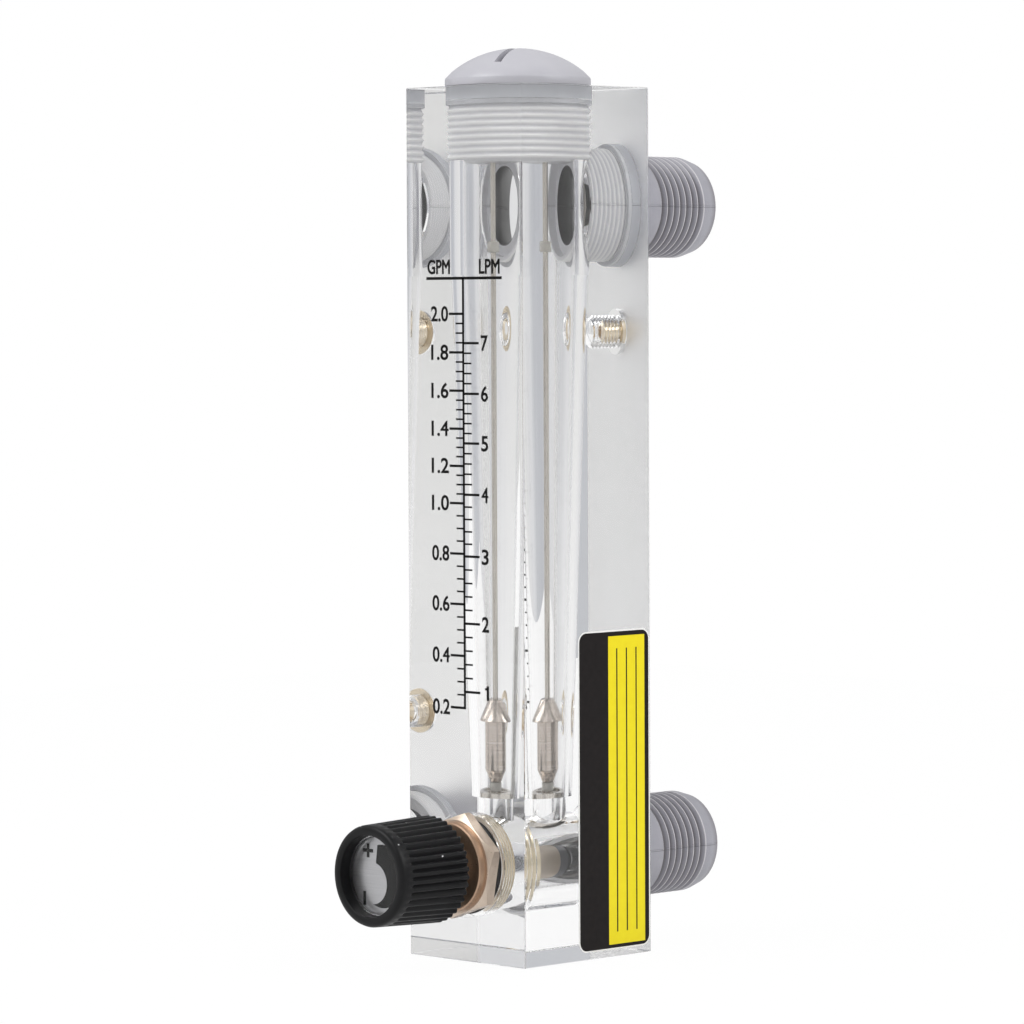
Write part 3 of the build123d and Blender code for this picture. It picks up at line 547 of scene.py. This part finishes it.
# Turned and plated: pinkish silver, dull in 2.4 mm patches, with bare yellow brass on the
# thread and a brownish painted reflection on the collar. The blasted grain is about 0.1 mm and
# is drawn at 0.3 mm, so that it shows.
nickel, tree, shader = finish("nickel_plated_brass", "cfc3b4", {"Metallic": 0.85, "Roughness": 0.4})
place = add(tree, "ShaderNodeTexCoord").outputs["Object"]
stain = add(tree, "ShaderNodeTexNoise", {"Vector": place, "Scale": 1 / (2.4 * MM), "Detail": 5.0, "Roughness": 0.6})
plated = add(tree, "ShaderNodeMix", {0: stain.outputs["Fac"], 6: linear("b3a08f"), 7: linear("dccdbe")},
             data_type="RGBA")
depth = add(tree, "ShaderNodeSeparateXYZ", {0: place}).outputs["Y"]
worn = add(tree, "ShaderNodeMapRange", {"Value": depth, "From Min": -17.8 * MM, "From Max": -16.5 * MM})
tint = add(tree, "ShaderNodeMix", {0: worn.outputs[0], 6: plated.outputs[2], 7: linear("dccfb4")}, data_type="RGBA")
# painted reflection: the collar is painted brownish
collar_painted_reflection = add(tree, "ShaderNodeMath", {0: depth, 1: (collar_end - 0.02) * MM}, operation="LESS_THAN")
tint = add(tree, "ShaderNodeMix", {0: collar_painted_reflection.outputs[0], 6: tint.outputs[2], 7: linear("b0937c")}, data_type="RGBA")
tree.links.new(tint.outputs[2], shader.inputs["Base Color"])
grain = add(tree, "ShaderNodeTexNoise", {"Vector": place, "Scale": 1 / (0.3 * MM), "Detail": 3.0})
gloss = add(tree, "ShaderNodeMapRange", {"Value": grain.outputs["Fac"], "To Min": 0.2, "To Max": 0.44})
tree.links.new(gloss.outputs[0], shader.inputs["Roughness"])
bump = add(tree, "ShaderNodeBump", {"Height": grain.outputs["Fac"], "Strength": 0.25, "Distance": 0.03 * MM})
tree.links.new(bump.outputs[0], shader.inputs["Normal"])

# Inwards: the collar with its rounded edge, the neck under the hexagon, the thread and the hollow end.
outline = [(4.0, collar_face), (8.55, collar_face), (8.75, collar_face + 0.06), (8.95, collar_face + 0.3),
           (8.95, collar_end), (8.6, collar_end), (8.6, -17.8), (9.55, -17.7),
           *thread(*bonnet_thread, 9.55, 10.22, bonnet_pitch),
           (9.55, -9.85), (6.4, -9.85), (6.4, collar_face + 3.4), (4.0, collar_face + 3.4)]
bonnet = shown("valve_bonnet_body", turned(outline, "Y", (0, 0, inlet_z), fine_steps), nickel, sharp=30)
bm = bmesh.new()
corner_r = hex_flats / 2 / math.cos(math.radians(30))
bmesh.ops.create_cone(bm, cap_ends=True, segments=6, radius1=corner_r, radius2=corner_r, depth=hex_end - collar_end)
twist(bm, -90, "X")
bm.verts.ensure_lookup_table()
first = bm.verts[0].co
start_turn = math.degrees(math.atan2(first.z, first.x))
twist(bm, start_turn - hex_corner_turn, "Y")
bmesh.ops.translate(bm, vec=(0, (collar_end + hex_end) / 2, inlet_z), verts=bm.verts)
hexagon = shown("hexagon", bm, nickel)
round_off = [(8.3, collar_end - 0.01), (9.35, collar_end - 0.01), (corner_r + 0.2, collar_end + 1.05),
             (corner_r + 0.2, hex_end - 0.55), (corner_r - 0.4, hex_end + 0.01), (8.3, hex_end + 0.01)]
cut(hexagon, [shown("chamfer_cone", turned(round_off, "Y", (0, 0, inlet_z), fine_steps), nickel)], "INTERSECT")
cut(bonnet, [hexagon], "UNION")
smoothed(bonnet.data, 18)
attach(bonnet, "meter_body")
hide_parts("valve_bonnet")

# Moulded rubber: dull black with a faint bloom in 1.3 mm patches.
black_rubber, tree, shader = finish("black_nitrile_rubber", "141414", {"Roughness": 0.55})
cloudy(tree, shader, 1.25, 3.0, "101010", "202020")
seal_r, seal_wire, seal_corners = 9.3, 0.5, 12
turns = [math.radians(360 / seal_corners * corner) for corner in range(seal_corners)]
outline = [(seal_r + seal_wire * math.cos(turn), seal_wire * math.sin(turn)) for turn in turns]
seal_y = (hex_end - 17.85) / 2
bonnet_seal = shown("bonnet_seal_ring", turned(outline, "Y", (0, seal_y, inlet_z), 96), black_rubber, sharp=60)
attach(bonnet_seal, "meter_body")
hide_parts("bonnet_seal")


# Valve stem, its seal and its soft washer keep the CAD model's shapes: a plated brass
# piston that slides in the bonnet and presses a black washer on the seat.
# Tumbled after plating: brownish grey and dull, without the bonnet's shine, in 2 mm patches.
dull_nickel, tree, shader = finish("tumbled_nickel_plated_brass", "b9ab9c", {"Metallic": 0.6, "Roughness": 0.5})
cloudy(tree, shader, 2.0, 4.0, "b0a190", "c6b9aa")
# Moulded rubber, dusty from wear: dark grey with paler 1 mm patches.
dusty_rubber, tree, shader = finish("worn_nitrile_rubber", "58585e", {"Roughness": 0.6})
cloudy(tree, shader, 1.0, 3.0, "505056", "66666c")
surfaced("valve_stem", dull_nickel)
surfaced("stem_seal", black_rubber)
surfaced("seat_washer", dusty_rubber)


# Knob: moulded in black plastic with forty rounded ribs that run out into a plain band at
# the front, a recess for the dial and a hollow skirt at the back.
knob_ribs, rib_depth, rib_steps, groove_power = 40, 0.62, 8, 1.6
mote_size, mote_rarity = 0.075, 0.72
knob_back, knob_front, dial_floor = -27.6, -45.3, -40.7
# Injection moulded: black with a dull sheen in 2 mm patches and a few white specks of dust.
# The grain is about 0.1 mm and is drawn at 0.3 mm, so that it shows.
black_plastic, tree, shader = finish("moulded_black_plastic", "151516", {"Roughness": 0.4, "Specular IOR Level": 0.18})
place, mottle, tint = cloudy(tree, shader, 2.0, 4.0, "0b0b0c", "151517")
motes = add(tree, "ShaderNodeTexVoronoi", {"Vector": place, "Scale": 1 / (2.6 * MM)})
near = add(tree, "ShaderNodeMath", {0: motes.outputs["Distance"], 1: mote_size}, operation="LESS_THAN")
chosen = add(tree, "ShaderNodeSeparateColor", {0: motes.outputs["Color"]})
chosen = add(tree, "ShaderNodeMath", {0: chosen.outputs[0], 1: mote_rarity}, operation="GREATER_THAN")
mote = add(tree, "ShaderNodeMath", {0: near.outputs[0], 1: chosen.outputs[0]}, operation="MULTIPLY")
tint = add(tree, "ShaderNodeMix", {0: mote.outputs[0], 6: tint.outputs[2], 7: linear("dcdcdc")}, data_type="RGBA")
tree.links.new(tint.outputs[2], shader.inputs["Base Color"])
gloss = add(tree, "ShaderNodeMapRange", {"Value": mottle.outputs["Fac"], "To Min": 0.32, "To Max": 0.5})
tree.links.new(gloss.outputs[0], shader.inputs["Roughness"])
grain = add(tree, "ShaderNodeTexNoise", {"Vector": place, "Scale": 1 / (0.3 * MM), "Detail": 2.0})
bump = add(tree, "ShaderNodeBump", {"Height": grain.outputs["Fac"], "Strength": 0.35, "Distance": 0.04 * MM})
tree.links.new(bump.outputs[0], shader.inputs["Normal"])

# Each station is a crest radius, a groove depth and a place along the knob.
stations = [(3.0, 0, dial_floor), (8.0, 0, dial_floor), (8.0, 0, knob_front + 0.55), (8.12, 0, knob_front + 0.2),
            (8.4, 0, knob_front + 0.02), (9.1, 0, knob_front), (9.6, 0, knob_front + 0.1),
            (9.92, 0, knob_front + 0.35), (10.1, 0, knob_front + 0.8), (10.17, 0, knob_front + 2.3),
            (10.19, rib_depth * 0.35, knob_front + 2.75), (10.2, rib_depth * 0.8, knob_front + 3.0),
            (10.22, rib_depth, knob_front + 3.4), (10.73, rib_depth, knob_back - 0.4),
            (10.68, rib_depth, knob_back - 0.12), (10.5, rib_depth * 0.8, knob_back), (9.35, 0, knob_back),
            (9.25, 0, knob_back - 0.1), (9.25, 0, knob_back - 9.0), (5.2, 0, knob_back - 9.0), (5.2, 0, knob_back),
            (3.0, 0, knob_back)]
bm = bmesh.new()
loop = bmesh.ops.create_circle(bm, cap_ends=False, segments=rib_steps * knob_ribs, radius=1.0)["verts"]
edges = bm.edges[:]
loops = []
for crest, groove, place_y in stations:
    if loops:
        made = bmesh.ops.extrude_edge_only(bm, edges=edges)["geom"]
        loop = [part for part in made if isinstance(part, bmesh.types.BMVert)]
        edges = [part for part in made if isinstance(part, bmesh.types.BMEdge) and all(v in loop for v in part.verts)]
    loops.append(edges)
    for vert in loop:
        turn = math.atan2(vert.co.y, vert.co.x)
        share = (0.5 + 0.5 * math.cos(turn * knob_ribs)) ** groove_power
        radius = crest - groove * share
        vert.co = (radius * math.cos(turn), radius * math.sin(turn), place_y)
bmesh.ops.bridge_loops(bm, edges=loops[0] + loops[-1])
twist(bm, -90, "X")
bmesh.ops.translate(bm, vec=(0, 0, inlet_z), verts=bm.verts)
bmesh.ops.recalc_face_normals(bm, faces=bm.faces)
knob = shown("ribbed_knob", bm, black_plastic, sharp=35)
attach(knob, "knob_body")
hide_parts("knob")

# Cold headed steel, plain: grey with a dull shine in 1 mm patches.
screw_steel, tree, shader = finish("plain_screw_steel", "b9b9b9", {"Metallic": 1.0, "Roughness": 0.35})
place = add(tree, "ShaderNodeTexCoord").outputs["Object"]
stain = add(tree, "ShaderNodeTexNoise", {"Vector": place, "Scale": 1 / (1.1 * MM), "Detail": 3.0})
gloss = add(tree, "ShaderNodeMapRange", {"Value": stain.outputs["Fac"], "To Min": 0.25, "To Max": 0.45})
tree.links.new(gloss.outputs[0], shader.inputs["Roughness"])
surfaced("knob_screw", screw_steel)


# Dial and lens: a brushed aluminium disc printed in black with a plus, a minus and the
# arrow between them, under a clear lens pressed in the knob's recess.
dial_face, print_lift, print_thickness = -41.23, 0.015, 0.02
lens_r, lens_back, lens_edge, lens_face = 7.93, -41.28, -42.75, -42.95
# Brushed one way with a belt: fine streaks across the disc. They are 0.05 mm wide and are
# drawn at 0.25 mm, so that they show.
brushed, tree, shader = finish("brushed_aluminium", "c9c9cc", {"Metallic": 1.0, "Roughness": 0.34})
place = add(tree, "ShaderNodeTexCoord").outputs["Object"]
along = add(tree, "ShaderNodeMapping", {"Vector": place, "Rotation": (0, math.radians(8), 0),
                                        "Scale": (0.03, 1.0, 1.0)})
lines = add(tree, "ShaderNodeTexNoise", {"Vector": along.outputs[0], "Scale": 1 / (0.25 * MM), "Detail": 3.0})
tint = add(tree, "ShaderNodeMix", {0: lines.outputs["Fac"], 6: linear("b4b4b8"), 7: linear("dcdcde")}, data_type="RGBA")
tree.links.new(tint.outputs[2], shader.inputs["Base Color"])
gloss = add(tree, "ShaderNodeMapRange", {"Value": lines.outputs["Fac"], "To Min": 0.28, "To Max": 0.46})
tree.links.new(gloss.outputs[0], shader.inputs["Roughness"])
surfaced("knob_dial", brushed)

# Moulded clear and coated against reflections, so that the print under it stays black.
lens_plastic, tree, shader = finish("coated_clear_acrylic", "f6f6f6",
                                    {"Transmission Weight": 1.0, "IOR": 1.49, "Roughness": 0.0,
                                     "Specular Tint": linear("6a6a6a")})
cloudy(tree, shader, 2.5, 2.0, "f2f2f2", "fbfbfb")
outline = [(0, lens_back), (lens_r, lens_back), (lens_r, lens_edge), (lens_r - 0.18, lens_face), (0, lens_face)]
lens = shown("knob_lens_disc", turned(outline, "Y", (0, 0, inlet_z)), lens_plastic, sharp=30)
lens.data.materials.append(black_plastic)  # its edge is glued to the knob and takes its black
for face in lens.data.polygons:
    if abs(face.normal.y) < 0.1:
        face.material_index = 1
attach(lens, "knob_body")
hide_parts("knob_lens")

# Screen printed: dense matt black with slight thin spots of 0.45 mm.
ink, tree, shader = finish("black_printing_ink", "0c0c0c", {"Roughness": 0.45, "Specular IOR Level": 0.08})
cloudy(tree, shader, 0.45, 3.0, "080808", "181818")


def layer(name, bm, rise, material):
    """A flat shape with a thickness, which is given as a vector, as an object with its material."""
    made = bmesh.ops.extrude_face_region(bm, geom=bm.faces[:])["geom"]
    bmesh.ops.translate(bm, vec=rise, verts=[part for part in made if isinstance(part, bmesh.types.BMVert)])
    bmesh.ops.recalc_face_normals(bm, faces=bm.faces)
    return shown(name, bm, material, sharp=20)


def printed(name, bm, thickness, face_y, material):
    """A flat shape drawn in X and Y, stood up on a plane of one Y, as a thin layer towards the viewer."""
    twist(bm, 90, "X")
    bmesh.ops.translate(bm, vec=(0, face_y, 0), verts=bm.verts)
    return layer(name, bm, (0, -thickness, 0), material)


def bar(bm, left, right, low, high):
    """A flat rectangle between these sides."""
    corners = bmesh.ops.create_grid(bm, x_segments=1, y_segments=1, size=0.5)["verts"]
    bmesh.ops.scale(bm, vec=(right - left, high - low, 1), verts=corners)
    bmesh.ops.translate(bm, vec=((left + right) / 2, (low + high) / 2, 0), verts=corners)


bm = bmesh.new()
bar(bm, -4.75, -1.85, inlet_z + 4.3, inlet_z + 5.02)
bar(bm, -3.68, -2.92, inlet_z + 3.27, inlet_z + 6.05)
bar(bm, -4.73, -3.97, inlet_z - 6.22, inlet_z - 3.46)
signs = printed("dial_signs", bm, print_thickness, dial_face - print_lift, ink)
bm = bmesh.new()
notch, tail_tip, head_tip = (-1.06, 2.29), (-1.99, -5.94), (-0.6, 5.85)
arcs = (((-2.147, -1.755), 4.19, notch, tail_tip, 24), ((0.75, -0.2), 6.28, tail_tip, head_tip, 32))
for (across, up), radius, start, end, steps in arcs:  # the arrow's inner and outer curve
    turn, last_turn = [math.atan2(point[1] - up, point[0] - across) for point in (start, end)]
    first = bm.verts.new((radius * math.cos(turn) + across, radius * math.sin(turn) + up, 0))
    bmesh.ops.spin(bm, geom=[first], cent=(across, up, 0), axis=(0, 0, 1), dvec=(0, 0, 0), angle=last_turn - turn,
                   steps=steps)
bm.verts.ensure_lookup_table()
ends = [vert for vert in bm.verts if len(vert.link_edges) == 1]
ends.sort(key=lambda vert: vert.co.y)
bm.edges.new(ends[:2])
bm.edges.new(ends[2:])
bmesh.ops.contextual_create(bm, geom=bm.edges[:])
bmesh.ops.translate(bm, vec=(0, inlet_z, 0), verts=bm.verts)
arrow = printed("dial_arrow", bm, print_thickness, dial_face - print_lift, ink)
for piece in (signs, arrow):
    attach(piece, "knob_body")


# Printed scale: gallons and litres a minute in black ink on the front face, with long and
# short marks both sides of a spine and the numbers beside them.
ink_lift, ink_thickness = 0.005, 0.03
head_line, head_half, unit_middle, figure_height = 136.85, 10.75, 139.15, 2.95
scale_x, spine_width, tick, fine_tick = -0.25, 0.58, 0.5, 0.36
left_heights = (50.9, 61.35, 71.7, 81.8, 91.9, 99.35, 106.8, 114.4, 122.05, 129.75)
right_heights = (54.15, 67.85, 81.3, 93.65, 103.9, 113.8, 123.9)
bm = bmesh.new()
bar(bm, scale_x - spine_width / 2, scale_x + spine_width / 2, left_heights[0] - tick / 2, head_line)
bar(bm, -head_half, head_half, head_line - spine_width / 2, head_line + spine_width / 2)
for heights, way, long_mark, short_mark, parts in ((left_heights, -1, 4.05, 2.15, 4), (right_heights, 1, 4.4, 2.3, 5)):
    for height in heights:
        ends = sorted((scale_x, scale_x + way * long_mark))
        bar(bm, *ends, height - tick / 2, height + tick / 2)
    for low, high in zip(heights, heights[1:]):
        for part in range(1, parts):
            height = low + (high - low) * part / parts
            ends = sorted((scale_x, scale_x + way * short_mark))
            bar(bm, *ends, height - fine_tick / 2, height + fine_tick / 2)
scale_marks = printed("scale_marks", bm, ink_thickness, front - ink_lift, ink)


def lettered(bm, text, right, middle, width, height):
    """Adds flat type to a mesh, as wide and high as given, ending at right and centred on middle."""
    bold = 0.09
    curve = bpy.data.curves.new("lettering", "FONT")
    curve.body = text
    curve.resolution_u = 6
    writing = bpy.data.objects.new("lettering", curve)
    scene.collection.objects.link(writing)
    bpy.context.view_layer.update()
    flat = bpy.data.meshes.new_from_object(writing.evaluated_get(bpy.context.evaluated_depsgraph_get()))
    lows = [min(vert.co[side] for vert in flat.vertices) for side in (0, 1)]
    highs = [max(vert.co[side] for vert in flat.vertices) for side in (0, 1)]
    flat.transform(Matrix.Translation((-highs[0], -(lows[1] + highs[1]) / 2, 0)))
    flat.transform(Matrix.Diagonal((width / (highs[0] - lows[0]), height / (highs[1] - lows[1]), 1, 1)))
    flat.transform(Matrix.Translation((right, middle, 0)))
    plain = bmesh.new()
    plain.from_mesh(flat)
    bmesh.ops.remove_doubles(plain, verts=plain.verts, dist=0.001)
    rim = bmesh.ops.inset_region(plain, faces=plain.faces[:], thickness=-bold, use_boundary=True, use_even_offset=True)
    bmesh.ops.delete(plain, geom=rim["faces"], context="FACES")
    plain.to_mesh(flat)
    plain.free()
    bm.from_mesh(flat)
    bpy.data.meshes.remove(flat)
    bpy.data.curves.remove(curve)


bm = bmesh.new()
for number, height in enumerate(left_heights):
    lettered(bm, f"{(number + 1) / 5:.1f}", -4.65, height, 4.75, figure_height)
# A lone 1 is far narrower than the other figures, so it is drawn from two bars.
bar(bm, 5.98, 6.62, right_heights[0] - 1.47, right_heights[0] + 1.47)
bar(bm, 5.5, 6.1, right_heights[0] + 0.6, right_heights[0] + 1.05)
for number, height in enumerate(right_heights[1:]):
    lettered(bm, str(number + 2), 6.62, height, 1.8, figure_height)
lettered(bm, "GPM", -4.04, unit_middle, 6.3, 2.8)
lettered(bm, "LPM", 10.1, unit_middle, 5.7, 2.8)
scale_figures = printed("scale_figures", bm, ink_thickness, front - ink_lift, ink)
for piece in (scale_marks, scale_figures):
    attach(piece, "meter_body")
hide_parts("scale_print")


# Side label: a printed film stuck on the side face, black with a yellow panel and a thin
# pale edge. Its black strip is bare and its panel has plain ruled lines to write on.
label_front, label_rear, label_low, label_high = -2.9, 17.7, 1.5, 66.0
label_corner, label_edge = 2.2, 0.3
# Gravure printed vinyl: glossy black with a little dust in 1.4 mm patches.
label_black, tree, shader = finish("black_label_film", "1c1a1a", {"Roughness": 0.3, "Specular IOR Level": 0.08})
_, dust, _ = cloudy(tree, shader, 1.4, 4.0, "181616", "242020")
gloss = add(tree, "ShaderNodeMapRange", {"Value": dust.outputs["Fac"], "To Min": 0.24, "To Max": 0.38})
tree.links.new(gloss.outputs[0], shader.inputs["Roughness"])

# The bare vinyl itself: matt white, faintly uneven in 1.7 mm patches.
label_white, tree, shader = finish("white_label_film", "ecebe8", {"Roughness": 0.4})
cloudy(tree, shader, 1.7, 4.0, "e4e3df", "f2f1ee")

# Gravure printed vinyl: flat bright yellow, a little thinner in 1.7 mm patches.
label_yellow, tree, shader = finish("yellow_label_film", "f4e012", {"Roughness": 0.34, "Specular IOR Level": 0.25})
cloudy(tree, shader, 1.7, 4.0, "e4cf08", "eddd16")


def film(name, left, right, low, high, corner, lift, thickness, material):
    """A thin rounded sheet on the side face, drawn in Y and Z, with its back at this lift."""
    bm = bmesh.new()
    bar(bm, left, right, low, high)
    bmesh.ops.bevel(bm, geom=bm.verts[:], offset=corner, offset_type="OFFSET", affect="VERTICES", segments=8,
                    profile=0.5, material=-1)
    turn = Matrix.Rotation(math.radians(90), 3, "Z") @ Matrix.Rotation(math.radians(90), 3, "X")
    bmesh.ops.rotate(bm, cent=(0, 0, 0), matrix=turn, verts=bm.verts)
    bmesh.ops.translate(bm, vec=(side + lift, 0, 0), verts=bm.verts)
    return layer(name, bm, (thickness, 0, 0), material)


backing = film("label_backing", label_front, label_rear, label_low, label_high, label_corner, 0.01, 0.08, label_white)
plate = film("label_black_field", label_front + label_edge, label_rear - label_edge, label_low + label_edge,
             label_high - label_edge, label_corner - label_edge, 0.09, 0.02, label_black)
panel = film("label_yellow_panel", 5.7, 16.2, 2.5, 64.8, 0.1, 0.11, 0.015, label_yellow)
rules = [film(f"label_rule_{number}", rule_y, rule_y + 0.35, 5.0, 62.3, 0.02, 0.125, 0.01, label_black)
         for number, rule_y in enumerate((8.0, 10.8, 13.6))]
for piece in (backing, plate, panel, *rules):
    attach(piece, "meter_body")
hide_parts("side_label")
